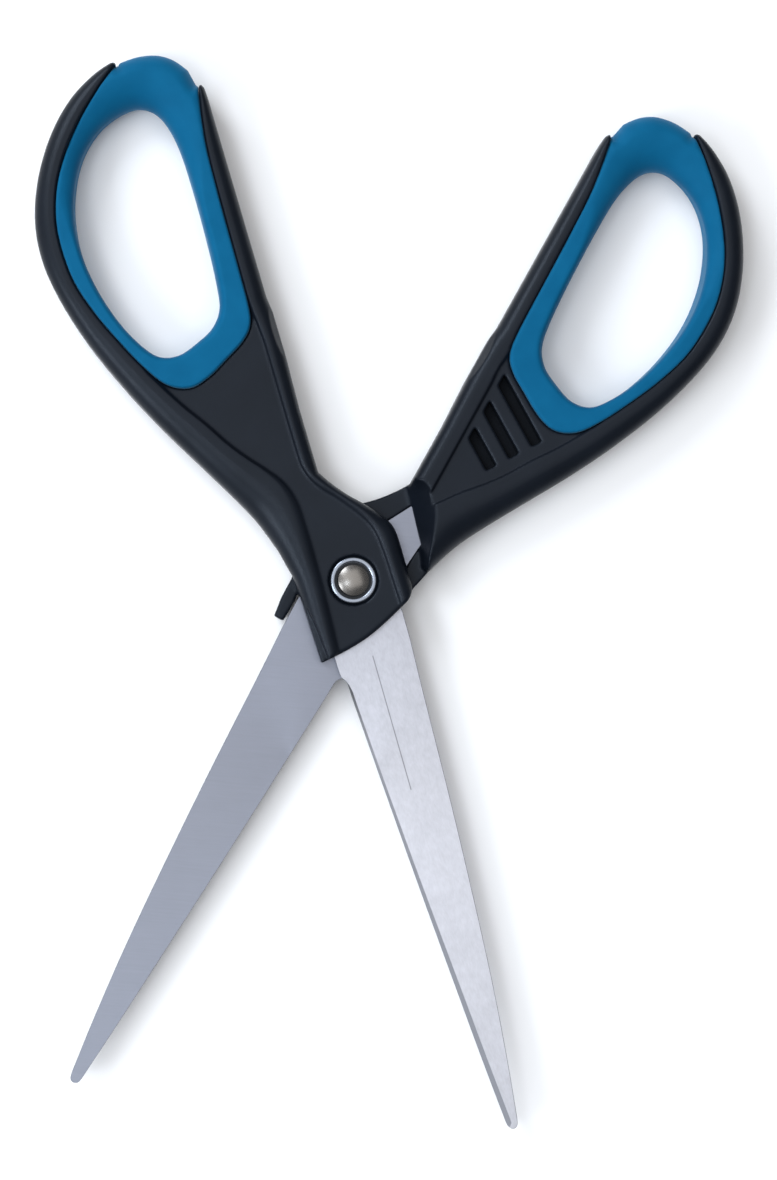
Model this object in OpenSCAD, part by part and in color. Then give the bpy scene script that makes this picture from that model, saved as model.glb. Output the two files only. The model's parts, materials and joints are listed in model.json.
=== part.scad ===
// Office scissors with moulded loop handles, stored part open and lying flat.
// The pivot axis is Z, the object rests on Z = 0, the handles point to +Y and the tips to -Y.
// Each lever is drawn closed: blade down -Y, cutting edge and bow on its -X side, outer face up.
// The back lever is the same drawing turned over about Y.

/* [Levers] */
// Angle between the two levers as stored
open_angle = 45.6; // [30:0.1:60]
// Thickness of the bows, and of the whole object
bow_t = 10.4; // [10:0.1:12]

/* [Blades] */
// Thickness of each blade
blade_t = 1.5; // [1.2:0.1:1.8]
// Gap between the two blades' inner faces
blade_gap = 0.1; // [0.06:0.01:0.2]
// Width of the ground bevel halfway along the cutting edge
bevel_w = 0.8; // [0.5:0.1:1.2]
// Thickness left at the cutting edge
edge_land = 0.35; // [0.2:0.05:0.5]
// Radius of the anchor hole in each tang
anchor_r = 2; // [1.5:0.1:2.5]

/* [Handles] */
// Setback of the moulding's inner face behind the blade's inner face
inner_setback = 0.15; // [0.1:0.05:0.3]
// Depth of the flat panel between the raised rims
panel_d = 0.8; // [0.4:0.1:1]
// Depth of the three slots
slot_d = 2.4; // [0.6:0.1:2.6]
// Width of the three slots
slot_w = 2.1; // [1.5:0.1:2.4]
// Distance from one slot to the next
slot_pitch = 5.6; // [4:0.1:5.8]
// Radius that the moulding's outer edges are rounded to
edge_r = 2.2; // [1:0.1:2.4]
// Number of steps that stand for each rounded edge
edge_steps = 3; // [2:1:4]

/* [Grips] */
// Thickness of the hard rib that keys each grip to its handle
rib_t = 2.4; // [2:0.1:3]
// Grip wall left over the rib on the finger side and at the top of the bow
rib_cover = 1.6; // [1.4:0.1:1.8]

/* [Pivot] */
// Radius of the rivet's shank
shank_r = 2; // [1.8:0.05:2.2]
// Radial clearance of everything that turns on the shank
run_gap = 0.04; // [0.02:0.01:0.08]
// Radius of the rivet's head and tail
head_r = 2.9; // [2.7:0.05:3]
// Outer radius of the cup washers' flanges
flange_r = 4.2; // [4.1:0.05:4.4]
// Inner radius of the cup washers
cup_r = 3.4; // [3.3:0.05:3.5]
// Height that the flanges stand above the panel
flange_up = 0.15; // [0.1:0.05:0.3]

/* [Hidden] */
$fn = 72;
mid = bow_t / 2;
blade_in = mid + blade_gap / 2;
blade_out = blade_in + blade_t;
shroud_in = blade_in + inner_setback;
panel_z = bow_t - panel_d;
cup_wall = 0.35;
cup_floor = 0.5;
flange_t = 0.45;
flange_top = panel_z + flange_up;
cup_bottom = blade_out + 0.85;
fit_gap = 0.02;
head_gap = 0.03;
head_round = 0.6;
far = 60;
black = [0.15, 0.16, 0.19];
blue = [0.1, 0.41, 0.6];
steel = [0.78, 0.79, 0.83];
rivet_grey = [0.65, 0.64, 0.62];

// Inner edge of the bow, top down, with the land that meets the other bow when closed
inner_x = -0.55;
land_x = -0.2;
inner_edge = [[-1, 95.3], [inner_x, 92], [inner_x, 54.5], [land_x, 51.5], [land_x, 43],
              [inner_x, 33], [inner_x, 20.9]];
// Spine side of the neck and shroud, down to the shroud's end
neck_edge = [[inner_x, 20.9], [1.3, 18.1], [3.5, 15.4], [5.8, 13.1], [7.6, 11.1], [9.5, 8.5],
             [10.2, 5.8], [10.2, -0.3], [9.9, -3.9], [9.2, -5.7], [7, -7.3]];
// Oblique end of the shroud
shroud_end = [[3.5, -9.1], [-0.1, -10.7], [-4.2, -11.9], [-9, -12.8], [-9.9, -12.1]];
// Outer side of the shroud, neck and bow, up to the moulding's upper tip
outer_edge = [[-10.1, -5], [-10.3, 2.5], [-11, 6.1], [-12, 10.2], [-14, 15.6], [-16.7, 20.8],
              [-20.8, 28], [-25.4, 36], [-30, 45], [-34.4, 55.4], [-37.3, 65.4], [-38.2, 73],
              [-37.3, 80.2], [-34.4, 87.6], [-30, 94.4], [-25, 99.4], [-20, 102.4], [-15.9, 103.8]];
// Line where the soft grip meets the hard moulding, from the upper tip round to the inner edge
seam = [[-14.9, 103.2], [-16, 102.4], [-20.1, 99], [-24.8, 94.5], [-29.2, 88.9], [-32.3, 82.9],
        [-34, 76], [-33.8, 67.5], [-31.7, 60.3], [-29, 54.2], [-26, 48.4], [-22.8, 44], [-18.9, 42.2],
        [-15, 43.1], [-10.7, 45.5], [-7, 47.8], [-4.9, 50.3], [-4.2, 54], [-4, 62], [-3.8, 74],
        [-3.5, 83], [-2.8, 89], [-1.7, 94.9]];
// Outline of the grip where it is the top of the bow
grip_top = [[-2.6, 98.9], [-4.6, 101.4], [-7.3, 103.1], [-10.9, 103.8], [-14.3, 103.6]];
// Finger hole
hole = [[-15.1, 94.9], [-12.4, 94.5], [-10.3, 92.8], [-8.9, 89.6], [-8.1, 84.9], [-7.9, 78],
        [-8, 70.5], [-8.4, 62], [-9.3, 55.4], [-11.6, 51.9], [-15.2, 49.9], [-19, 48.6],
        [-22.4, 49.2], [-24.9, 51.8], [-27.6, 56.8], [-29.7, 63.2], [-30.8, 69.8], [-30.7, 75.9],
        [-29.3, 82], [-26.5, 87.7], [-23, 91.6], [-19.2, 93.9]];
// Flat panel between the two raised rims
panel_outer = [[-26, 50], [-25.6, 47.7], [-24.3, 45.2], [-21, 39.7], [-17.8, 35.1], [-15.1, 30.8],
               [-12.4, 27.2], [-9.6, 24], [-7.2, 20.8], [-5.9, 17], [-5.6, 12.5], [-5.6, 6],
               [-5.8, -2], [-6.4, -14]];
panel_inner = [[7.1, -14], [6.8, -3.5], [6.6, 3.4], [6.1, 7.6], [4.6, 10.9], [1.6, 14.9],
               [-1.4, 18.3], [-3.1, 21.6], [-3.5, 26], [-3.5, 42], [-3.6, 48], [-4.4, 56]];
// Wall of the step, where the moulding drops to half its thickness round the pivot
step_wall = [[inner_x, 20.8], [-2.4, 20.2], [-4.6, 18.5], [-6.7, 16.1], [-8.8, 13.4], [-10.6, 10.8],
             [-12.2, 8.4]];
// Tang inside the handle, anticlockwise from the spine's shoulder
tang = [[7.2, -8.2], [6.8, -0.4], [-0.4, 13.1], [-5.2, 22], [-6.6, 33], [-10.2, 36.5], [-13.2, 35],
        [-13, 30], [-8.6, 19], [-7.7, 10.9], [-7.3, 6]];
// Spine from its shoulder to the tip, and the cutting edge back to the choil
spine = [[7.15, -13.4], [6.65, -24], [5.9, -43], [5, -60], [3.8, -78], [2.4, -92.5], [1.2, -102.4]];
tip = [[0.95, -103.9], [0.6, -104.85], [0, -105.2], [-0.5, -105.1], [-0.95, -104.5]];
cutting_edge = [[-1.15, -103.4], [-2, -92.3], [-3, -77], [-4.2, -58], [-5.1, -42], [-6.05, -24],
                [-6.25, -19.6]];
choil = [[-6.4, -17.7], [-6.95, -16.8], [-7.2, -15.9], [-7.3, -12.6]];
// Window that the slots' ends follow, the lowest slot's inner end, and the angle they rise at
slot_window = [[-5.8, 26], [-5.8, 50], [-24.8, 50], [-9.2, 26]];
slot_count = 3;
slot_end = [-5.8, 34.4];
slot_rise = 32;
// Prong beside the back blade's spine, which stops the scissors opening too far
prong = [[8.4, -3], [10.1, -3], [10, -9], [9.5, -12.7], [7.6, -12.7], [7.5, -8.5]];

// Catmull-Rom curve through the points p, with n steps between neighbours
function blend4(a, b, c, d, t) =
    0.5 * (2 * b + (c - a) * t + (2 * a - 5 * b + 4 * c - d) * t * t + (3 * b - a - 3 * c + d) * t * t * t);
function curve(p, n = 3) = [
    for (i = [0 : len(p) - 2])
        for (k = [0 : n - 1])
            blend4(p[max(i - 1, 0)], p[i], p[i + 1], p[min(i + 2, len(p) - 1)], k / n),
    p[len(p) - 1]
];
function loop(p, n = 3) = [
    for (i = [0 : len(p) - 1])
        for (k = [0 : n - 1])
            blend4(p[(i + len(p) - 1) % len(p)], p[i], p[(i + 1) % len(p)], p[(i + 2) % len(p)], k / n)
];
function backwards(p) = [for (i = [len(p) - 1 : -1 : 0]) p[i]];

module front_lever() {
    rotate([0, 0, open_angle / 2]) children();
}
module back_lever() {
    rotate([0, 0, -open_angle / 2]) translate([0, 0, bow_t]) rotate([0, 180, 0]) children();
}
module slab(z0, z1) {
    translate([0, 0, z0]) linear_extrude(z1 - z0) children();
}

module hard_outline() {
    polygon(concat(inner_edge, curve(neck_edge), curve(shroud_end, 2), curve(outer_edge), curve(seam)));
}
module grip_outline() {
    polygon(concat(curve(seam), curve(grip_top)));
}
module hole_outline() {
    polygon(loop(hole));
}
module lever_outline() {
    hard_outline();
    grip_outline();
}
module panel_outline() {
    difference() {
        polygon(concat(curve(panel_outer), curve(panel_inner)));
        grip_outline();
    }
}
module step_outline() {
    polygon(concat(curve(step_wall), [[-20, 7], [-20, -20], [20, -20], [20, 20.8]]));
}
module rib_outline() {
    difference() {
        offset(delta = -rib_cover) lever_outline();
        offset(delta = rib_cover) hole_outline();
    }
}

// The lever's outline as slabs that shrink towards both faces, which stand for edges rounded to edge_r
module rounded_lever() {
    for (i = [0 : edge_steps - 1]) {
        setback = edge_r * (1 - cos(90 * i / edge_steps));
        face_drop = edge_r * (1 - sin(90 * (i + 1) / edge_steps));
        slab(face_drop, bow_t - face_drop) offset(delta = -setback) difference() {
            lever_outline();
            hole_outline();
        }
    }
}

// One lever's blade with its tang, hole and ground bevel on the outer face
module blade() {
    bevel_from = [-6.55, -17.5];
    bevel_to = [-1.05, -104];
    bevel_run = bevel_to - bevel_from;
    edge_angle = atan2(-bevel_run.x, bevel_run.y) - 180;
    bevel_angle = atan2(blade_t - edge_land, bevel_w);
    color(steel) difference() {
        slab(blade_in, blade_out)
            polygon(concat(backwards(choil), backwards(curve(cutting_edge)), backwards(tip),
                           backwards(curve(spine)), tang));
        translate([0, 0, blade_in - 1]) cylinder(r = shank_r + run_gap, h = blade_t + 2);
        translate([-9, 32, blade_in - 1]) cylinder(r = anchor_r, h = blade_t + 2);
        translate([bevel_from.x, bevel_from.y, blade_in + edge_land]) rotate([0, 0, edge_angle])
            rotate([0, -bevel_angle, 0]) translate([-far, -2 * far, 0]) cube([far, 2 * far, far]);
    }
}

// Slanted slots, cut off along the rim on one side and the inner groove on the other
module slots_outline() {
    intersection() {
        polygon(slot_window);
        for (i = [0 : slot_count - 1]) translate(slot_end + [0, i * slot_pitch])
            rotate([0, 0, slot_rise]) translate([-far / 2, -slot_w / 2]) square([far, slot_w]);
    }
}

// One lever's hard moulding without its tang pocket
module moulding() {
    difference() {
        union() {
            difference() {
                rounded_lever();
                slab(-far, far) grip_outline();
            }
            slab(mid - rib_t / 2, mid + rib_t / 2) rib_outline();
        }
        slab(panel_z, far) panel_outline();
        slab(-far, panel_d) panel_outline();
        slab(-far, panel_d + slot_d) slots_outline();
        slab(-far, shroud_in) step_outline();
        cylinder(r = shank_r + 0.3, h = far);
        translate([0, 0, cup_bottom]) cylinder(r = cup_r + cup_wall + fit_gap, h = far);
        translate([0, 0, flange_top - flange_t - fit_gap]) cylinder(r = flange_r + fit_gap, h = far);
    }
}
module handle(with_prong) {
    color(black) difference() {
        union() {
            moulding();
            if (with_prong) slab(shroud_in, bow_t - panel_d) polygon(prong);
        }
        blade();
    }
}
module grip() {
    color(blue) difference() {
        intersection() {
            rounded_lever();
            slab(-far, far) grip_outline();
        }
        slab(mid - rib_t / 2, mid + rib_t / 2) rib_outline();
    }
}

// Steel cup that the rivet's head sits in, pressed into the moulding's outer face
module cup_washer() {
    color(steel) difference() {
        union() {
            translate([0, 0, cup_bottom]) cylinder(r = cup_r + cup_wall, h = flange_top - cup_bottom);
            translate([0, 0, flange_top - flange_t]) cylinder(r = flange_r, h = flange_t);
        }
        translate([0, 0, cup_bottom + cup_floor]) cylinder(r = cup_r, h = far);
        cylinder(r = shank_r + run_gap, h = far);
    }
}
module rivet_head() {
    head_z = cup_bottom + cup_floor + head_gap;
    translate([0, 0, head_z]) cylinder(r = head_r, h = bow_t - head_round - head_z);
    translate([0, 0, bow_t - head_round]) cylinder(r1 = head_r, r2 = head_r - head_round, h = head_round);
}
module rivet() {
    color(rivet_grey) {
        cylinder(r = shank_r, h = bow_t - 2 * head_round);
        rivet_head();
        translate([0, 0, bow_t]) rotate([180, 0, 0]) rivet_head();
    }
}

module front_blade() {
    front_lever() blade();
}
module back_blade() {
    back_lever() blade();
}
module front_handle() {
    front_lever() handle(false);
}
module back_handle() {
    back_lever() handle(true);
}
module front_grip() {
    front_lever() grip();
}
module back_grip() {
    back_lever() grip();
}
module pivot_rivet() {
    rivet();
}
module front_cup_washer() {
    front_lever() cup_washer();
}
module back_cup_washer() {
    back_lever() cup_washer();
}

front_blade();
back_blade();
front_handle();
back_handle();
front_grip();
back_grip();
pivot_rivet();
front_cup_washer();
back_cup_washer();
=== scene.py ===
"""Office scissors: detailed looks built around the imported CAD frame.

Shapes are drawn in millimetres in a closed lever's own frame: blade down -Y, cutting edge and bow on
the -X side, outer face up. The back lever is the same drawing turned over about Y. place() turns a
lever's points into metres in the shared frame.
"""

import json
import math

import bmesh
import bpy
import numpy as np
from mathutils import Matrix, Vector


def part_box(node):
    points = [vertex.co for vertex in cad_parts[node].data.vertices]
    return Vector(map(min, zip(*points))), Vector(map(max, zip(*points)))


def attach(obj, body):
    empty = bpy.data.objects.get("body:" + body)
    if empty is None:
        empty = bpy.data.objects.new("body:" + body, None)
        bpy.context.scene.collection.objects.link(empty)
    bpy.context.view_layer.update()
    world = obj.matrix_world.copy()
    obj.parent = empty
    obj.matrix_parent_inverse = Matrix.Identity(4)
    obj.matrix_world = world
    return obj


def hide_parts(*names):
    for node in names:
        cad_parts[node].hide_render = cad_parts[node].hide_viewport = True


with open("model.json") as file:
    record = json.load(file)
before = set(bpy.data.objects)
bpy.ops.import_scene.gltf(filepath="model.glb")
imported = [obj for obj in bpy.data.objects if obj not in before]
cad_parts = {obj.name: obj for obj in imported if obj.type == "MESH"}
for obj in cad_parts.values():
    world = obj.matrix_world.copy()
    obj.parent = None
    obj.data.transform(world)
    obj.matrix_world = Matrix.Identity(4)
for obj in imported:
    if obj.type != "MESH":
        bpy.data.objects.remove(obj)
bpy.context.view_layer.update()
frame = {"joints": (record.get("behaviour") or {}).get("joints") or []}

MM = 0.001


def cad_box(node):
    """A node's lowest and highest corners at rest, in millimetres."""
    lo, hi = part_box(node)
    return np.array(lo) / MM, np.array(hi) / MM


# ---------------------------------------------------------------- sizes that come from the frame
CLOSING = max(frame["joints"][0]["range_deg"])
HALF_OPEN = math.radians(CLOSING / 2)
THICK = cad_box("front_handle")[1][2]
MID = THICK / 2
BLADE_IN, BLADE_OUT = cad_box("front_blade")[0][2], cad_box("front_blade")[1][2]
CUP_LO, CUP_HI = cad_box("front_cup_washer")
FLANGE_R = (CUP_HI[0] - CUP_LO[0]) / 2
HEAD_R = (cad_box("pivot_rivet")[1][0] - cad_box("pivot_rivet")[0][0]) / 2

# ---------------------------------------------------------------- sizes of the details
SETBACK = 0.15  # of the moulding's inner face behind the blade's
PANEL_DEPTH = 0.8
BACK_PANEL_DEPTH = 0.6
SLOT_DEPTH = 2.4
SLOT_WIDTH = 2.1
SLOT_PITCH = 5.6
SLOT_RISE = math.radians(32)
SLOT_END = (-5.8, 34.4)
SHANK_R = 2.0
SHANK_PLAY = 0.04
CUP_BORE_R = 3.4
CUP_FLOOR = 0.5
SEAT_PLAY = 0.03  # between the cup's floor and the rivet's head
FLANGE_THICK = 0.45
SHROUD_FLOOR = BLADE_IN + SETBACK
PANEL_Z = THICK - PANEL_DEPTH
SEAM_GAP = 0.03  # each side of the joint between moulding and grip
SEAM_SOFT = 0.45  # radius of the edges along that joint
GROOVE_SOFT = 0.2  # radius of the edges where the slots and the step are cut in
WALL_SLOPE = 0.8  # turns distance across the step's sloping wall into distance from it
# Room in the moulding round the rivet's shank, the cup washer and its flange
BORE_ROOM = 0.3
CUP_ROOM = 0.37
FLANGE_ROOM = 0.4
SEAT_DEPTH = 0.6
# Edges of the blades
EDGE_BREAK = 0.05  # on the inner face
PLAIN_EDGE = 0.1  # chamfer where no bevel is ground
EDGE_LAND = 0.3  # thickness that the grinding leaves at the cutting edge

# ---------------------------------------------------------------- outlines, in millimetres
INNER_X = -0.55
LAND_X = -0.2
LAND_Y = 48.3
INNER_EDGE = [(-1.6, 95.6), (-1, 95.4), (-0.65, 94.6), (INNER_X, 92), (INNER_X, 54.5),
              (LAND_X, 51.5), (LAND_X, 43), (INNER_X, 33), (INNER_X, 20.9)]
NECK_EDGE = [(INNER_X, 20.9), (1.3, 18.1), (3.5, 15.4), (5.8, 13.1), (7.6, 11.1), (9.5, 8.5),
             (10.2, 5.8), (10.2, -0.3)]
OUTER_EDGE = [(-10.1, -5), (-10.3, 2.5), (-11, 6.1), (-12, 10.2), (-14, 15.6), (-16.7, 20.8),
              (-20.8, 28), (-25.4, 36), (-30, 45), (-34.4, 55.4), (-37.3, 65.4), (-38.2, 73),
              (-37.3, 80.2), (-34.4, 87.6), (-30, 94.4), (-25, 99.4), (-20, 102.4), (-15.9, 103.8)]
SEAM = [(-14.9, 103.2), (-16, 102.4), (-20.1, 99), (-24.8, 94.5), (-29.2, 88.9), (-32.3, 82.9), (-34, 76),
        (-33.8, 67.5), (-31.7, 60.3), (-29, 54.2), (-26, 48.4), (-22.8, 44), (-18.9, 42.2),
        (-15, 43.1), (-10.7, 45.5), (-7, 47.8), (-4.9, 50.3), (-4.2, 54), (-4, 62), (-3.8, 74),
        (-3.5, 83), (-2.8, 89), (-1.75, 94.9)]
GRIP_TOP = [(-2.6, 98.9), (-4.6, 101.4), (-7.3, 103.1), (-10.9, 103.8), (-14.3, 103.6)]
HOLE = [(-15.1, 94.9), (-12.4, 94.5), (-10.3, 92.8), (-8.9, 89.6), (-8.1, 84.9), (-7.9, 78),
        (-8, 70.5), (-8.4, 62), (-9.3, 55.4), (-11.6, 51.9), (-15.2, 49.9), (-19, 48.6),
        (-22.4, 49.2), (-24.9, 51.8), (-27.6, 56.8), (-29.7, 63.2), (-30.8, 69.8), (-30.7, 75.9),
        (-29.3, 82), (-26.5, 87.7), (-23, 91.6), (-19.2, 93.9)]
PANEL_OUTER = [(-26, 50), (-25.6, 47.7), (-24.3, 45.2), (-21, 39.7), (-17.8, 35.1), (-15.1, 30.8),
               (-12.4, 27.2), (-9.6, 24), (-7.2, 20.8), (-5.9, 17), (-5.6, 12.5), (-5.6, 6),
               (-5.8, -2), (-6.4, -14)]
PANEL_INNER = [(7.1, -14), (6.8, -3.5), (6.6, 3.4), (6.1, 7.6), (4.6, 10.9), (1.6, 14.9),
               (-1.4, 18.3), (-3.1, 21.6), (-3.5, 26), (-3.5, 42), (-3.6, 48), (-4.4, 56)]
BACK_PANEL_OUTER = PANEL_OUTER[:9] + [(-6.4, 19.7), (-3.6, 15.6), (-2.6, 14)]
BACK_PANEL_INNER = [(-4.6, 18), (-4.6, 26), (-4.5, 42), (-4.4, 48), (-5, 56)]
SHROUD_END = [(-14, -13.4), (-9, -12.8), (-4.2, -11.9), (-0.1, -10.7), (3.5, -9.1), (7, -7.3),
              (8.8, -6.2), (10, -4.5), (10.6, -2), (14, 0)]
# Top and foot of the step's sloping wall, with ends that clear the other lever at both limits
STEP_TOP = [(2, 23.2), (0.2, 22.2), (-2.6, 22.2), (-4.5, 21.4), (-6.8, 18.7), (-8.2, 15.8), (-9.2, 13.4)]
STEP_FOOT = [(2, 22.5), (0, 20.5), (-0.6, 19.7), (-2.6, 17.3), (-4.4, 15.3), (-6.5, 13), (-8, 11.4)]
TOP_END = {"front": [(-10.2, 11.8), (-11.4, 10.6), (-14, 10)],
           "back": [(-10, 11.2), (-10.8, 9.6), (-11.6, 8.6), (-14, 8)]}
FOOT_END = {"front": [(-9.4, 10.2), (-11, 9.7), (-14, 9.4)],
            "back": [(-9.4, 9.6), (-10.4, 8.4), (-14, 7.6)]}
LEDGE = [(-13, -1.6), (-9.5, -2.5), (-9.0, -6), (-8.3, -14.5), (-13, -14.5)]
TANG = [(7.2, -8.2), (6.8, -0.4), (-0.4, 13.1), (-5.2, 22), (-6.6, 33), (-10.2, 36.5),
        (-13.2, 35), (-13, 30), (-8.6, 19), (-7.7, 10.9), (-7.3, 6)]
SPINE = [(7.15, -13.4), (6.65, -24), (5.9, -43), (5, -60), (3.8, -78), (2.4, -92.5), (1.2, -102.4)]
TIP = [(-1.12, -103.9), (-0.85, -104.8), (0, -105.2), (0.75, -104.7), (1.1, -103.3)]
CUTTING_EDGE = [(-1.15, -103.4), (-2, -92.3), (-3, -77), (-4.2, -58), (-5.1, -42), (-6.05, -24),
                (-6.25, -19.6)]
CHOIL = [(-7.3, -12.6), (-7.2, -15.9), (-6.95, -16.8), (-6.45, -17.5), (-6.28, -18.4)]
PRONG = [(8.4, -3), (10.1, -3), (10, -9), (9.5, -12.7), (7.6, -12.7), (7.5, -8.5)]
SLOT_WINDOW = [(-5.8, 26), (-5.8, 50), (-24.8, 50), (-9.2, 26)]


# ---------------------------------------------------------------- curves and placing
def curve(points, steps=4, closed=False):
    """Catmull-Rom curve through the points."""
    p = np.array(points, float)
    n = len(p)
    out = []
    for i in range(n if closed else n - 1):
        if closed:
            a, b, c, d = p[i - 1], p[i], p[(i + 1) % n], p[(i + 2) % n]
        else:
            a, b, c, d = p[max(i - 1, 0)], p[i], p[i + 1], p[min(i + 2, n - 1)]
        for t in np.arange(steps) / steps:
            out.append(0.5 * (2 * b + (c - a) * t + (2 * a - 5 * b + 4 * c - d) * t ** 2
                              + (3 * b - a - 3 * c + d) * t ** 3))
    if not closed:
        out.append(p[-1])
    return np.array(out)


def joined(*stretches):
    """One closed outline from several stretches."""
    return np.vstack([np.array(s, float) for s in stretches])


def place(points, lever):
    """Turns a lever's points in millimetres into metres in the shared frame."""
    p = np.array(points, float)
    turn = HALF_OPEN
    if lever == "back":
        p = p * (-1, 1, -1) + (0, 0, THICK)
        turn = -HALF_OPEN
    c, s = math.cos(turn), math.sin(turn)
    x = p[:, 0] * c - p[:, 1] * s
    y = p[:, 0] * s + p[:, 1] * c
    return np.stack([x, y, p[:, 2]], 1) * MM


def make_piece(name, verts, faces, lever, material, shade=None):
    """Mesh object in the shared frame from a lever's points in millimetres."""
    mesh = bpy.data.meshes.new(name)
    mesh.from_pydata(place(verts, lever).tolist(), [], [list(map(int, f)) for f in faces])
    mesh.validate()
    if shade is not None:
        mesh.attributes.new("shade", "FLOAT", "POINT").data.foreach_set("value", shade)
    mesh.materials.append(material)
    mesh.polygons.foreach_set("use_smooth", [True] * len(mesh.polygons))
    mesh.update()
    piece = bpy.data.objects.new(name, mesh)
    bpy.context.scene.collection.objects.link(piece)
    return piece


# ---------------------------------------------------------------- implicit moulded shapes
GRID = 0.3  # pitch of the grid, in millimetres
GRID_LO = np.array([-39.5, -14.3, -0.43])
GRID_HI = np.array([11.3, 105.3, 10.9])
axis_x, axis_y, axis_z = [np.arange(GRID_LO[i], GRID_HI[i], GRID) for i in range(3)]
flat_x, flat_y = np.meshgrid(axis_x, axis_y, indexing="ij")


def outline_distance(outline):
    """Distance in the plane from each grid point to a closed outline, negative inside it."""
    nearest = np.full(flat_x.shape, 1e9)
    inside = np.zeros(flat_x.shape, bool)
    for (ax, ay), (bx, by) in zip(outline, np.roll(outline, -1, axis=0)):
        ex, ey = bx - ax, by - ay
        length = ex * ex + ey * ey
        if length < 1e-12:
            continue
        px, py = flat_x - ax, flat_y - ay
        t = np.clip((px * ex + py * ey) / length, 0, 1)
        nearest = np.minimum(nearest, (px - t * ex) ** 2 + (py - t * ey) ** 2)
        if ay != by:
            inside ^= ((ay > flat_y) != (by > flat_y)) & (px < ex * py / ey)
    return np.where(inside, -1, 1) * np.sqrt(nearest)


def ramp(lo, hi, value):
    """0 below lo, 1 above hi, smooth between."""
    t = np.clip((value - lo) / (hi - lo), 0, 1)
    return t * t * (3 - 2 * t)


def rounded(u, v, a, b):
    """Corner between the half spaces u < 0 and v < 0, rounded by an ellipse of radii a and b."""
    p, q = u / a + 1, v / b + 1
    r = np.minimum(np.maximum(p, q), 0) + np.hypot(np.maximum(p, 0), np.maximum(q, 0)) - 1
    return r * np.minimum(a, b)


def soft_max(a, b, r):
    """Maximum of two fields with the crease between them filleted by about r."""
    h = np.clip(r - np.abs(a - b), 0, None)
    return np.maximum(a, b) + h * h / (4 * r)


def soft_min(a, b, r):
    """Minimum of two fields with the crease between them filleted by about r."""
    return -soft_max(-a, -b, r)


def deep(field):
    """A field of the plane as a field of space."""
    return field[:, :, None].astype(np.float32)


Z = axis_z[None, None, :].astype(np.float32)


def untangle(field):
    """Fills a corner of each saddle square, where a surface net would pinch four faces onto one edge.

    Filling one can make another across a different axis, so each axis is gone over twice.
    """
    for axis in (0, 1, 2, 0, 1, 2):
        view = np.moveaxis(field, axis, 2)
        inside = view < 0
        here, next_u = inside[:-1, :-1], inside[1:, :-1]
        saddle = (here == inside[1:, 1:]) & (next_u == inside[:-1, 1:]) & (here != next_u)
        i, j, k = np.nonzero(saddle)
        view[i + here[saddle], j, k] = -1e-4


def surface_net(field):
    """Closed mesh of quads over field = 0, with one vertex in each grid cell that it crosses."""
    untangle(field)
    inside = field < 0
    nx, ny, nz = field.shape
    corners = [(i, j, k) for i in (0, 1) for j in (0, 1) for k in (0, 1)]
    count = np.zeros((nx - 1, ny - 1, nz - 1), np.int8)
    for i, j, k in corners:
        count += inside[i:nx - 1 + i, j:ny - 1 + j, k:nz - 1 + k]
    cells = np.argwhere((count > 0) & (count < 8))
    index = np.full(count.shape, -1, np.int64)
    index[tuple(cells.T)] = np.arange(len(cells))
    total = np.zeros((len(cells), 3))
    hits = np.zeros(len(cells))
    for corner in corners:
        for axis in range(3):
            if corner[axis]:
                continue
            other = np.array(corner)
            other[axis] = 1
            fa = field[tuple((cells + corner).T)]
            fb = field[tuple((cells + other).T)]
            crosses = (fa < 0) != (fb < 0)
            t = fa / np.where(crosses, fa - fb, 1)
            point = np.array(corner, float) + t[:, None] * (other - np.array(corner))
            total += np.where(crosses[:, None], point, 0)
            hits += crosses
    verts = GRID_LO + (cells + total / hits[:, None]) * GRID
    faces = []
    for axis in range(3):
        u, v = (axis + 1) % 3, (axis + 2) % 3
        low = np.take(inside, np.arange(field.shape[axis] - 1), axis)
        high = np.take(inside, np.arange(1, field.shape[axis]), axis)
        at = np.argwhere(low != high)
        within = (at[:, u] < index.shape[u]) & (at[:, v] < index.shape[v])
        at = at[(at[:, u] > 0) & (at[:, v] > 0) & within]
        step_u, step_v = np.eye(3, dtype=int)[u], np.eye(3, dtype=int)[v]
        quad = np.stack([index[tuple((at - d).T)] for d in (0 * step_u, step_u, step_u + step_v, step_v)], 1)
        outward = low[tuple(at.T)]
        faces.append(np.where(outward[:, None], quad, quad[:, ::-1]))
    return verts, np.vstack(faces)


def build_fields():
    """Distances in the plane that the mouldings and grips share."""
    side = joined(INNER_EDGE, curve(NECK_EDGE), [(10.1, -20), (-9.7, -20)], curve(OUTER_EDGE),
                  [(-15.3, 103.7), (-14.8, 103.2)], curve(GRIP_TOP)[::-1], [(-1.9, 95.7)])
    grip = joined(curve(SEAM), [(-1.0, 96.5), (1, 100), (-4, 107), (-13, 107)])
    below = [(-20, -20), (20, -20), (20, 23)]
    steps = {}
    for lever in ("front", "back"):
        steps[f"{lever}_step"] = -outline_distance(joined(curve(STEP_FOOT + FOOT_END[lever]), below))
        steps[f"{lever}_step_top"] = -outline_distance(joined(curve(STEP_TOP + TOP_END[lever]), below))
    return steps | {
        "side": outline_distance(side),
        "grip": outline_distance(grip),
        "hole": outline_distance(curve(HOLE, 6, closed=True)),
        "panel": outline_distance(joined(curve(PANEL_OUTER), curve(PANEL_INNER))),
        "back_panel": outline_distance(joined(curve(BACK_PANEL_OUTER), curve(BACK_PANEL_INNER))),
        "end": outline_distance(joined(curve(SHROUD_END), [(20, 120), (-60, 120), (-60, -13.4)])),
        "ledge": outline_distance(np.array(LEDGE, float)),
        "tang": outline_distance(joined(TANG, [(-7.3, -12), (6.7, -12)])),
        "prong": outline_distance(np.array(PRONG, float)),
        "window": outline_distance(np.array(SLOT_WINDOW, float)),
    }


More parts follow.
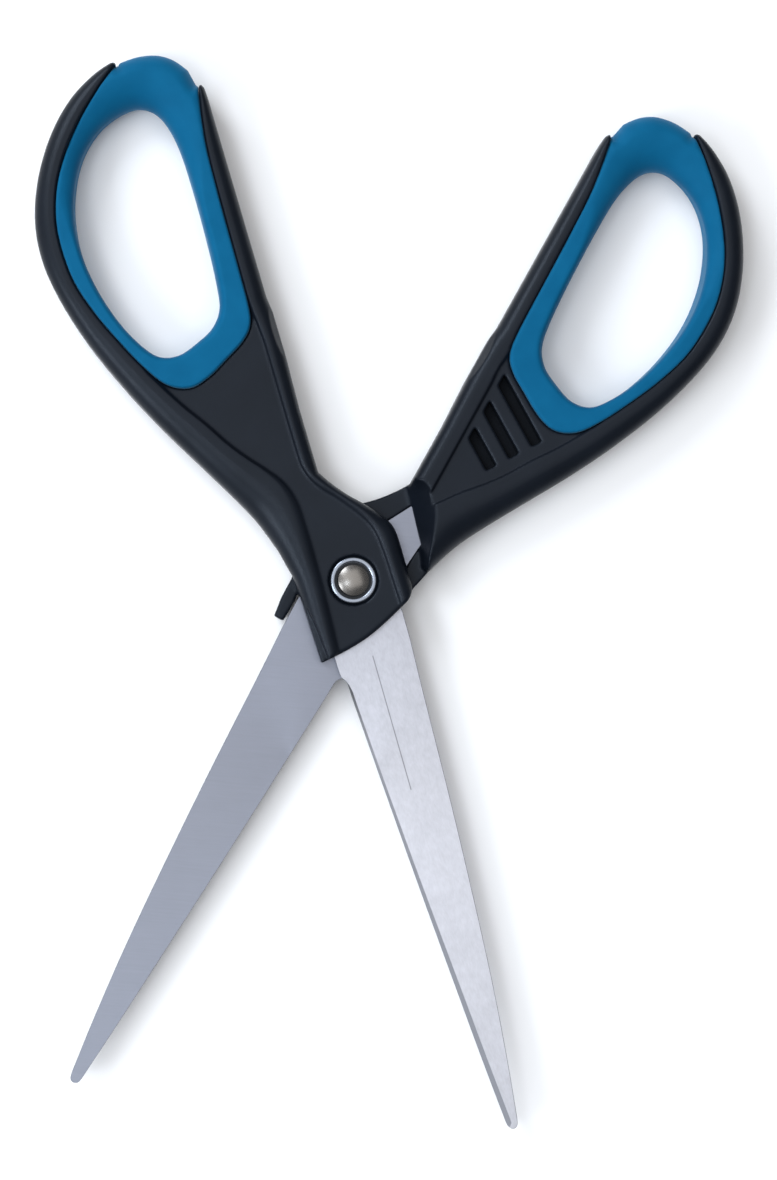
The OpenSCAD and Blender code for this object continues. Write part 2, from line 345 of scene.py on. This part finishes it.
fields = build_fields()
radial = np.hypot(flat_x, flat_y)


def sample(field, verts):
    """Value of a field of the plane at each vertex."""
    u = (verts[:, 0] - GRID_LO[0]) / GRID
    v = (verts[:, 1] - GRID_LO[1]) / GRID
    i = np.clip(u.astype(int), 0, field.shape[0] - 2)
    j = np.clip(v.astype(int), 0, field.shape[1] - 2)
    s, t = u - i, v - j
    return ((field[i, j] * (1 - s) + field[i + 1, j] * s) * (1 - t)
            + (field[i, j + 1] * (1 - s) + field[i + 1, j + 1] * s) * t)


def slots_distance():
    """Distance in the plane to the three slanted slots."""
    slots = np.full(flat_x.shape, 1e9)
    for i in range(3):
        across = ((flat_y - SLOT_END[1] - i * SLOT_PITCH) * math.cos(SLOT_RISE)
                  - (flat_x - SLOT_END[0]) * math.sin(SLOT_RISE))
        slots = np.minimum(slots, np.abs(across) - SLOT_WIDTH / 2)
    return soft_max(slots, fields["window"], 0.4)


fields["slots"] = slots_distance()


# painted shade: how far the colour is darkened in the deep slots and on the step's wall
SLOT_PAINTED_SHADE = 0.62
WALL_PAINTED_SHADE = 0.72


def moulding_shade(verts, lever):
    """How much of its colour the black keeps: painted shade darkens the deep slots and the step's wall,
    which see little of the room.
    """
    depth = verts[:, 2]
    slot_end = BACK_PANEL_DEPTH + SLOT_DEPTH
    slot = ramp(0.25, -0.15, sample(fields["slots"], verts))
    slot = slot * ramp(BACK_PANEL_DEPTH + 0.3, BACK_PANEL_DEPTH + 1.3, depth)
    slot = slot * ramp(slot_end + 0.8, slot_end + 0.3, depth)
    above, foot = fields[f"{lever}_step_top"], fields[f"{lever}_step"]
    wall = ramp(0.1, 0.9, -sample(above, verts)) * ramp(1, 0.2, -sample(foot, verts))
    wall = wall * ramp(SHROUD_FLOOR - 0.1, SHROUD_FLOOR - 0.6, depth)
    return 1 - SLOT_PAINTED_SHADE * slot - WALL_PAINTED_SHADE * wall


def moulding_field(lever):
    """Hard moulding of one lever."""
    side, panel = fields["side"], fields["panel"]
    step, step_top = fields[f"{lever}_step"], fields[f"{lever}_step_top"]
    # the raised rim between the silhouette and the panel or the seam is one long roll
    rim_width = -side + np.clip(np.minimum(panel, fields["grip"]), 0, None)
    roll_a = np.clip(0.75 * rim_width, 1.2, 6.5)
    roll_b = np.clip(1.6 + 0.42 * roll_a, 2.2, 4.2)
    up, down = Z - THICK, -Z
    outer = rounded(deep(side), up, deep(roll_a), deep(roll_b))
    under = rounded(deep(side), down, deep(roll_a), deep(roll_b))
    body = np.maximum(outer, under)
    # flat land on the inner edge, where the closed levers nearly meet, with a facet beside each face
    reach = 0.3 * ((flat_y - LAND_Y) / 5) ** 2
    facet_x, facet_z = 0.884, 0.467
    for face in (up, down):
        body = np.maximum(body, facet_x * (deep(flat_x) + 1.4) + facet_z * (face + 0.43) - deep(reach))
    # rims over the flat panels
    crest = 0.5 + 1.7 * ramp(26, 14, flat_y) * ramp(-2, -5, flat_x) + 0.7 * ramp(-6, 0, flat_x)
    front = np.minimum(up + PANEL_DEPTH, rounded(-deep(panel), up, deep(crest), PANEL_DEPTH + 0.15))
    back = np.minimum(down + BACK_PANEL_DEPTH, rounded(-deep(fields["back_panel"]), down, 0.3, 0.3))
    body = np.maximum(np.maximum(body, front), back)
    # chamfered end of the shroud and a narrow ledge down its outer edge
    end = deep(fields["end"])
    body = np.maximum(body, np.maximum(rounded(end, np.maximum(front, up), 0.8, 0.6), end))
    ledge = np.maximum(deep(fields["ledge"]), THICK - 1.7 - Z)
    body = soft_max(body, -ledge, 0.15)
    # slots in the under face
    slot_cut = soft_max(deep(fields["slots"]), Z - BACK_PANEL_DEPTH - SLOT_DEPTH, 0.3)
    body = soft_max(body, -slot_cut, GROOVE_SOFT)
    # step down to half thickness round the pivot, with a sloping wall
    climb = np.clip((SHROUD_FLOOR - Z) / SHROUD_FLOOR, 0, 1)
    wall = -(deep(step) * (1 - climb) + deep(step_top) * climb) * WALL_SLOPE
    step_cut = soft_max(Z - SHROUD_FLOOR, wall, 0.6)
    body = soft_max(body, -step_cut, GROOVE_SOFT)
    # room for the tang where the step lays it bare
    bare = soft_max(deep(fields["tang"]) - 0.02, Z - BLADE_OUT, 0.1)
    body = np.maximum(body, -np.maximum(bare, -deep(step) - 0.3))
    # bore and washer seat
    bore = deep(radial) - SHANK_R - BORE_ROOM
    cup = np.maximum(deep(radial) - CUP_BORE_R - CUP_ROOM, CUP_LO[2] - Z)
    seat = np.maximum(deep(radial) - FLANGE_R - FLANGE_ROOM, PANEL_Z - SEAT_DEPTH - Z)
    body = np.maximum(body, -np.minimum(np.minimum(bore, cup), seat))
    if lever == "back":
        prong = rounded(deep(fields["prong"]), Z - PANEL_Z, 0.5, 0.7)
        prong = np.maximum(prong, rounded(deep(fields["prong"]), SHROUD_FLOOR - Z, 0.4, 0.4))
        body = soft_min(body, prong, 0.4)
    # the soft grip's place, with a small radius along the seam
    return soft_max(body, -deep(fields["grip"]) + SEAM_GAP, SEAM_SOFT)


def grip_field():
    """Soft lining of one finger hole."""
    side, hole = fields["side"], fields["hole"]
    top = ramp(72, 97, flat_y)
    edge = 0.9 + 0.5 * ramp(-24, -12, flat_x)
    up, down = Z - THICK, -Z
    body = None
    for face in (up, down):
        outside = rounded(deep(side), face, 3.4, 3.8)
        inside = rounded(-deep(hole), face, deep(edge + 5.8 * top), deep(1.7 * edge + 2.6 * top))
        both = np.maximum(outside, inside)
        body = both if body is None else np.maximum(body, both)
    return soft_max(body, deep(fields["grip"]) + SEAM_GAP, SEAM_SOFT)


# ---------------------------------------------------------------- blades
def blade_outline():
    """Closed outline, anticlockwise from the choil, with the bevel's width at each point."""
    outline = joined(curve(CHOIL), curve(CUTTING_EDGE, 8)[::-1], curve(TIP, 5), curve(SPINE, 8)[::-1], TANG)
    x, y = outline[:, 0], outline[:, 1]
    on_edge = (x < 0) & (y < -17)
    width = 0.42 + 0.5 * ramp(-20, -100, y)
    width = width * ramp(-17.2, -19.5, y) * ramp(0.2, -0.9, x) * ramp(-105.2, -104, y)
    return outline, np.where(on_edge, np.maximum(width, PLAIN_EDGE), PLAIN_EDGE)


def inset(outline, amount):
    """Moves each point of an anticlockwise outline inwards by its own amount."""
    ahead = np.roll(outline, -1, axis=0) - outline
    ahead /= np.linalg.norm(ahead, axis=1)[:, None]
    along = ahead + np.roll(ahead, 1, axis=0)
    along /= np.maximum(np.linalg.norm(along, axis=1)[:, None], 0.3)
    return outline + np.stack([-along[:, 1], along[:, 0]], 1) * np.asarray(amount).reshape(-1, 1)


def make_blade(name, lever, material):
    """Blade with its tang and bore, ground to a bevel along the cutting edge."""
    outline, bevel = blade_outline()
    ground = bevel > PLAIN_EDGE * 1.1
    land = np.where(ground, BLADE_IN + EDGE_LAND, BLADE_OUT - PLAIN_EDGE)
    count = len(outline)
    rings = [
        (inset(outline, np.full(count, EDGE_BREAK)), np.full(count, BLADE_IN)),
        (outline, np.full(count, BLADE_IN + EDGE_BREAK)),
        (outline, land),
        (inset(outline, bevel), np.full(count, BLADE_OUT)),
    ]
    hole_angles = np.linspace(0, 2 * math.pi, 64, endpoint=False)
    hole = np.stack([np.cos(hole_angles), np.sin(hole_angles)], 1) * (SHANK_R + SHANK_PLAY)
    bm = bmesh.new()
    loops = [[bm.verts.new((*xy, z)) for xy, z in zip(points, heights)] for points, heights in rings]
    walls = [[bm.verts.new((*xy, z)) for xy in hole] for z in (BLADE_IN, BLADE_OUT)]
    for lower, upper in zip(loops[:-1], loops[1:]):
        for i in range(count):
            j = (i + 1) % count
            bm.faces.new((lower[i], lower[j], upper[j], upper[i]))
    for i in range(len(hole)):
        j = (i + 1) % len(hole)
        bm.faces.new((walls[0][j], walls[0][i], walls[1][i], walls[1][j]))
    for ring, bore in ((loops[0], walls[0]), (loops[-1], walls[1])):
        edges = []
        for loop in (ring, bore):
            for a, b in zip(loop, loop[1:] + loop[:1]):
                edges.append(bm.edges.get((a, b)) or bm.edges.new((a, b)))
        bmesh.ops.triangle_fill(bm, use_beauty=True, use_dissolve=False, edges=edges)
    bmesh.ops.recalc_face_normals(bm, faces=bm.faces[:])
    bm.verts.index_update()
    verts = [tuple(v.co) for v in bm.verts]
    faces = [[v.index for v in f.verts] for f in bm.faces]
    bm.free()
    piece = make_piece(name, verts, faces, lever, material)
    piece.data.set_sharp_from_angle(angle=math.radians(20))
    return piece


# ---------------------------------------------------------------- turned pieces
def turned(name, profile, lever, material, segments=128):
    """Solid of revolution about the pivot from a closed profile of (radius, height) points."""
    verts, faces, rows = [], [], []
    for r, z in profile:
        if r < 1e-6:
            rows.append([len(verts)] * segments)
            verts.append((0, 0, z))
            continue
        rows.append(list(range(len(verts), len(verts) + segments)))
        verts += [(r * math.cos(a), r * math.sin(a), z)
                  for a in np.linspace(0, 2 * math.pi, segments, endpoint=False)]
    closed = profile[0][0] > 1e-6
    for i in range(len(rows) if closed else len(rows) - 1):
        low, high = rows[i], rows[(i + 1) % len(rows)]
        for j in range(segments):
            k = (j + 1) % segments
            face = list(dict.fromkeys((low[j], low[k], high[k], high[j])))
            if len(face) > 2:
                faces.append(face)
    piece = make_piece(name, verts, faces, lever, material)
    piece.data.set_sharp_from_angle(angle=math.radians(50))
    return piece


def arc(cx, cz, r, start, end, steps=6):
    """Points on an arc in the profile plane, angles in degrees."""
    return [(cx + r * math.cos(math.radians(a)), cz + r * math.sin(math.radians(a)))
            for a in np.linspace(start, end, steps)]


def make_rivet(material):
    """Rivet with a domed head in front and the same formed tail behind."""
    seat = CUP_LO[2] + CUP_FLOOR + SEAT_PLAY
    ball, soft = 6.6, 0.25  # radius of the dome, and of the edge that it runs into
    rise = math.sqrt((ball - soft) ** 2 - (HEAD_R - soft) ** 2)
    lean = math.degrees(math.atan2(rise, HEAD_R - soft))
    dome = [(HEAD_R, seat + 0.12)] + arc(HEAD_R - soft, THICK - ball + rise, soft, 0, lean)
    dome += [(r, THICK - ball + math.sqrt(ball * ball - r * r)) for r in np.linspace(2.6, 0, 14)]
    half = [(SHANK_R, seat + 0.02), (SHANK_R + 0.15, seat), (HEAD_R - 0.12, seat)] + dome
    mirrored = [(r, THICK - z) for r, z in half[::-1]]
    return turned("pivot_rivet_turned", mirrored + half, "front", material)


def make_cup(name, lever, material):
    """Cup washer with a rolled bright rim."""
    body_r = CUP_BORE_R + 0.35
    floor_z = CUP_LO[2] + CUP_FLOOR
    rim_mid = (FLANGE_R + CUP_BORE_R) / 2
    rim_half = (FLANGE_R - CUP_BORE_R) / 2
    rise = 0.2
    roll = [(rim_mid + rim_half * math.copysign(abs(math.cos(a)) ** 0.8, math.cos(a)),
             CUP_HI[2] - rise + rise * math.sin(a)) for a in np.linspace(0, math.pi, 17)]
    bore_r = SHANK_R + SHANK_PLAY
    flange_z = CUP_HI[2] - FLANGE_THICK
    profile = [(bore_r, CUP_LO[2]), (body_r, CUP_LO[2]), (body_r, flange_z), (FLANGE_R, flange_z)]
    profile += roll + [(CUP_BORE_R, floor_z), (bore_r, floor_z)]
    return turned(name, profile, lever, material)


# ---------------------------------------------------------------- materials
class Nodes:
    """Small helper that adds and links shader nodes."""

    def __init__(self, name, **principled):
        self.material = bpy.data.materials.new(name)
        self.material.use_nodes = True
        self.tree = self.material.node_tree
        self.bsdf = self.tree.nodes["Principled BSDF"]
        for socket, value in principled.items():
            self.bsdf.inputs[socket.replace("_", " ")].default_value = value

    def add(self, kind, inputs=None, **settings):
        """Adds a node, with each input either set to a value or linked to a socket."""
        node = self.tree.nodes.new(kind)
        for key, value in settings.items():
            setattr(node, key, value)
        for key, value in (inputs or {}).items():
            if isinstance(value, bpy.types.NodeSocket):
                self.tree.links.new(value, node.inputs[key])
            else:
                node.inputs[key].default_value = value
        return node

    def math(self, operation, a, b=0.0, clamp=False):
        return self.add("ShaderNodeMath", {0: a, 1: b}, operation=operation, use_clamp=clamp).outputs[0]

    def coords(self, turn=0.0, scale=(1, 1, 1)):
        """Object coordinates in millimetres, turned about Z into a lever's frame."""
        place_node = self.add("ShaderNodeTexCoord")
        turned_node = self.add("ShaderNodeMapping", {"Vector": place_node.outputs["Object"],
                                                     "Rotation": (0, 0, turn),
                                                     "Scale": (1 / MM, 1 / MM, 1 / MM)})
        return self.add("ShaderNodeMapping", {"Vector": turned_node.outputs[0], "Scale": scale}).outputs[0]

    def noise(self, vector, scale, detail=3.0, roughness=0.5):
        return self.add("ShaderNodeTexNoise", {"Vector": vector, "Scale": scale, "Detail": detail,
                                               "Roughness": roughness}).outputs["Fac"]

    def spread(self, value, lo, hi):
        """Maps the middle of a noise value's range to lo..hi."""
        return self.add("ShaderNodeMapRange", {"Value": value, "From Min": 0.3, "From Max": 0.7,
                                               "To Min": lo, "To Max": hi}).outputs[0]

    def mix(self, factor, a, b, blend="MIX"):
        """Colour a with colour b mixed over it."""
        node = self.add("ShaderNodeMix", data_type="RGBA", blend_type=blend)
        for socket, value in ((node.inputs["Factor"], factor), (node.inputs[6], a), (node.inputs[7], b)):
            if isinstance(value, bpy.types.NodeSocket):
                self.tree.links.new(value, socket)
            else:
                socket.default_value = value
        return node.outputs[2]

    def to(self, socket, value):
        self.tree.links.new(value, self.bsdf.inputs[socket])

    def bump(self, height, strength, distance_mm):
        node = self.add("ShaderNodeBump", {"Height": height, "Strength": strength,
                                           "Distance": distance_mm * MM})
        self.to("Normal", node.outputs[0])


def opaque(colour, level=1.0):
    """A colour with its level changed and full alpha."""
    return tuple(c * level for c in colour) + (1,)


def hard_black():
    """Satin moulded plastic with a fine spark-eroded texture, and painted shade where the shade attribute is
    low.
    """
    n = Nodes("hard_black", Roughness=0.4, Specular_IOR_Level=0.18, Specular_Tint=(0.78, 0.87, 1, 1))
    p = n.coords()
    cloud = n.spread(n.noise(p, 0.12), 0.0, 1.0)
    grain = n.noise(p, 3.2, 4.0, 0.6)
    fine = n.noise(p, 9.0, 2.0)
    shade = n.add("ShaderNodeAttribute", attribute_name="shade").outputs["Fac"]
    colour = n.mix(cloud, (0.0036, 0.0052, 0.0087, 1), (0.0051, 0.0072, 0.0117, 1))
    # painted shade: the colour goes to near black where the shade attribute is low, in the slots and on the
    # step's wall
    n.to("Base Color", n.mix(shade, (0.001, 0.001, 0.001, 1), colour))
    dull = n.math("MULTIPLY", n.math("SUBTRACT", 1.0, shade), 0.7)
    n.to("Roughness", n.math("ADD", n.spread(grain, 0.3, 0.42), dull))
    n.bump(n.math("ADD", grain, n.math("MULTIPLY", fine, 0.5)), 0.35, 0.03)
    return n.material


def soft_blue():
    """Soft-touch rubber with a faint mottle."""
    n = Nodes("soft_blue", Roughness=0.55, Specular_IOR_Level=0.08, Specular_Tint=(0.5, 0.9, 1, 1),
              Sheen_Weight=0.2, Sheen_Roughness=0.45, Sheen_Tint=(0.35, 0.72, 1, 1))
    p = n.coords()
    cloud = n.spread(n.noise(p, 0.2, 4.0), 0.0, 1.0)
    grain = n.noise(p, 4.5, 3.0, 0.6)
    n.to("Base Color", n.mix(cloud, (0.0014, 0.087, 0.194, 1), (0.0023, 0.1, 0.217, 1)))
    n.to("Roughness", n.spread(grain, 0.5, 0.62))
    n.bump(grain, 0.25, 0.03)
    return n.material


LINE_HALF_WIDTH = 0.16


def ground_steel(name, turn, base, streak_scale, contrast, root_painted_shade, grind_turn=0.0, line=None):
    """Stainless steel with grinding streaks that run along the blade or across it, and painted shade at the
    root and on tilted faces.

    root_painted_shade is the level of the painted shade beside the shroud, and line holds the x and
    then the y of the two ends of an etched line, in the lever's frame.
    """
    n = Nodes(name, Metallic=1.0, Roughness=0.4, Anisotropic=0.3)
    p = n.coords(turn)
    q = n.add("ShaderNodeMapping", {"Vector": p, "Rotation": (0, 0, grind_turn)}).outputs[0]
    stretch = n.add("ShaderNodeMapping", {"Vector": q, "Scale": streak_scale}).outputs[0]
    streak = n.noise(stretch, 1.0, 3.0, 0.6)
    cloud = n.noise(p, 0.18, 2.0)
    broad = n.add("ShaderNodeMapping", {"Vector": stretch, "Scale": (0.3, 0.6, 0.3)}).outputs[0]
    mottle = n.noise(broad, 1.0, 2.0)
    both = n.math("ADD", n.math("MULTIPLY", streak, 0.45), n.math("MULTIPLY", cloud, 0.2))
    tone = n.spread(n.math("ADD", both, n.math("MULTIPLY", mottle, 0.35)), 0.0, 1.0)
    colour = n.mix(tone, opaque(base, 1 - contrast), opaque(base, 1 + contrast * 0.8))
    # painted shade: the blade is darker at its root, beside the shroud
    parts = n.add("ShaderNodeSeparateXYZ", {"Vector": p})
    x, y = parts.outputs[0], parts.outputs[1]
    root_shade = n.add("ShaderNodeMapRange", {"Value": y, "From Min": -8.0, "From Max": -52.0, "To Min": 0.0,
                                        "To Max": 1.0}, interpolation_type="SMOOTHSTEP").outputs[0]
    colour = n.mix(root_shade, n.mix(1.0, colour, (root_painted_shade, root_painted_shade, root_painted_shade * 1.01, 1), "MULTIPLY"), colour)
    if line:
        x0, x1, y0, y1 = line
        slope = (x1 - x0) / (y1 - y0)
        centre = n.math("ADD", n.math("MULTIPLY", y, slope), x0 - slope * y0)
        off = n.math("ABSOLUTE", n.math("SUBTRACT", x, centre))
        thin = n.math("SUBTRACT", 1.0, n.math("MULTIPLY", off, 1 / LINE_HALF_WIDTH), clamp=True)
        inside = n.math("MULTIPLY", n.math("LESS_THAN", y, y0), n.math("GREATER_THAN", y, y1))
        mask = n.math("MULTIPLY", thin, inside)
        colour = n.mix(mask, colour, (0.16, 0.16, 0.18, 1))
    # painted shade: faces tilted from the flats, the ground bevel and the edges, are darkened by their tilt
    normal = n.add("ShaderNodeNewGeometry").outputs["True Normal"]
    flatness = n.math("ABSOLUTE", n.add("ShaderNodeSeparateXYZ", {0: normal}).outputs[2])
    tilt_shade = n.math("MULTIPLY", n.math("SUBTRACT", 0.985, flatness), 30.0, clamp=True)
    colour = n.mix(tilt_shade, colour, opaque(base, 0.52))
    n.to("Base Color", colour)
    n.to("Roughness", n.spread(streak, 0.34, 0.46))
    n.bump(streak, 0.25, 0.01)
    return n.material


def plain_metal(name, base, rough, painted_shade_radius=None):
    """Small turned steel parts with fine scratches, and painted shade inside a given radius."""
    n = Nodes(name, Metallic=1.0, Roughness=rough)
    p = n.coords()
    scuff = n.noise(p, 6.0, 4.0, 0.65)
    colour = n.mix(n.spread(scuff, 0.0, 1.0), opaque(base, 0.88), opaque(base))
    if painted_shade_radius:
        # painted shade in the cup washer's recess, inside painted_shade_radius
        flat = n.add("ShaderNodeMapping", {"Vector": p, "Scale": (1, 1, 0)}).outputs[0]
        radius = n.add("ShaderNodeVectorMath", {0: flat}, operation="LENGTH").outputs["Value"]
        inner = n.math("MULTIPLY", n.math("SUBTRACT", painted_shade_radius, radius), 12.0, clamp=True)
        colour = n.mix(inner, colour, (0.02, 0.022, 0.025, 1))
    n.to("Base Color", colour)
    n.to("Roughness", n.spread(scuff, rough - 0.05, rough + 0.08))
    n.bump(scuff, 0.15, 0.01)
    return n.material


BLACK = hard_black()
BLUE = soft_blue()
FRONT_STEEL = ground_steel("front_blade_steel", -HALF_OPEN, (0.5, 0.512, 0.565), (3.4, 1.0, 3.4), 0.15, 0.76,
                           line=(-0.4, -0.6, -14.3, -40.0))
BACK_STEEL = ground_steel("back_blade_steel", HALF_OPEN, (0.21, 0.224, 0.267), (0.35, 4.5, 4.5), 0.06, 0.95,
                          grind_turn=math.radians(-24))
RIVET_STEEL = plain_metal("rivet_steel", (0.2, 0.189, 0.178), 0.26)
WASHER_STEEL = plain_metal("washer_steel", (0.26, 0.29, 0.345), 0.2, painted_shade_radius=CUP_BORE_R + 0.03)

# ---------------------------------------------------------------- pieces
for lever in ("front", "back"):
    body = f"{lever}_lever"
    steel = FRONT_STEEL if lever == "front" else BACK_STEEL
    shape, quads = surface_net(moulding_field(lever))
    made = {
        "handle": (make_piece(f"{lever}_handle_moulding", shape, quads, lever, BLACK,
                              moulding_shade(shape, lever)), "hard_black"),
        "grip": (make_piece(f"{lever}_grip_lining", *surface_net(grip_field()), lever, BLUE), "soft_blue"),
        "blade": (make_blade(f"{lever}_blade_ground", lever, steel), f"{lever}_blade_steel"),
        "cup_washer": (make_cup(f"{lever}_cup_washer_turned", lever, WASHER_STEEL), "washer_steel"),
    }
    for node, (piece, slot) in made.items():
        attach(piece, body)
        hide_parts(f"{lever}_{node}")

rivet = make_rivet(RIVET_STEEL)
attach(rivet, "front_lever")
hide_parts("pivot_rivet")

# ---------------------------------------------------------------- floor, lights, world and camera
def make_floor():
    """Pale desk just under the scissors."""
    size = 3.0
    mesh = bpy.data.meshes.new("floor")
    height = -0.05 * MM
    corners = [(-size, -size, height), (size, -size, height), (size, size, height), (-size, size, height)]
    mesh.from_pydata(corners, [], [(0, 1, 2, 3)])
    floor = bpy.data.objects.new("floor", mesh)
    bpy.context.scene.collection.objects.link(floor)
    n = Nodes("floor_pale", Roughness=0.9, Specular_IOR_Level=0.1, Base_Color=(0.93, 0.93, 0.94, 1))
    mesh.materials.append(n.material)


def area_light(name, location, size, power, colour):
    """Rectangular light that points at the pivot."""
    light = bpy.data.lights.new(name, "AREA")
    light.shape = "RECTANGLE"
    light.size, light.size_y = size
    light.energy = power
    light.color = colour
    lamp = bpy.data.objects.new(name, light)
    lamp.location = location
    lamp.rotation_euler = (-Vector(location)).to_track_quat("-Z", "Y").to_euler()
    bpy.context.scene.collection.objects.link(lamp)


def make_world(dim, bright):
    """Room that is brighter on the left than on the right."""
    world = bpy.data.worlds.new("soft_room")
    world.use_nodes = True
    tree = world.node_tree
    place_node = tree.nodes.new("ShaderNodeTexCoord")
    parts = tree.nodes.new("ShaderNodeSeparateXYZ")
    level = tree.nodes.new("ShaderNodeMapRange")
    level.interpolation_type = "SMOOTHSTEP"
    tree.links.new(place_node.outputs["Generated"], parts.inputs[0])
    tree.links.new(parts.outputs[0], level.inputs["Value"])
    for socket, value in (("From Min", 0.3), ("From Max", -0.9), ("To Min", dim), ("To Max", bright)):
        level.inputs[socket].default_value = value
    background = tree.nodes["Background"]
    background.inputs[0].default_value = (0.93, 0.96, 1, 1)
    tree.links.new(level.outputs[0], background.inputs[1])
    bpy.context.scene.world = world


def make_camera():
    """Nearly straight above, rolled and slightly tilted, half a metre away."""
    distance = 500 * MM
    frame_height = 218.3 * MM  # of the desk that the picture's height shows
    roll, tilt, lean = math.radians(-6.43), math.radians(-1.46), math.radians(3.36)
    turn = (Matrix.Rotation(lean, 3, "Y") @ Matrix.Rotation(tilt, 3, "X")
            @ Matrix.Rotation(roll, 3, "Z")).transposed()
    data = bpy.data.cameras.new("camera")
    data.sensor_width = 36
    data.lens = data.sensor_width * distance / frame_height
    camera = bpy.data.objects.new("camera", data)
    at = turn @ Vector((6.66 * MM, -1.68 * MM, distance)) + Vector((0, 0, MID * MM))
    camera.matrix_world = Matrix.Translation(at) @ turn.to_4x4()
    bpy.context.scene.collection.objects.link(camera)
    bpy.context.scene.camera = camera


make_floor()
make_world(0.28, 0.95)
area_light("key_upper_left", (-0.5, 0.45, 0.55), (0.3, 0.35), 3.0, (0.88, 0.94, 1))
area_light("key_lower_left", (-0.6, -0.36, 0.55), (0.3, 0.35), 3.0, (0.88, 0.94, 1))
area_light("crest", (-0.3, -0.16, 0.9), (0.2, 0.2), 0.9, (0.8, 0.9, 1))
area_light("top", (-0.05, 0.1, 1.1), (1.2, 1.2), 6.0, (1, 0.985, 0.97))
make_camera()
bpy.context.scene.view_settings.view_transform = "Standard"
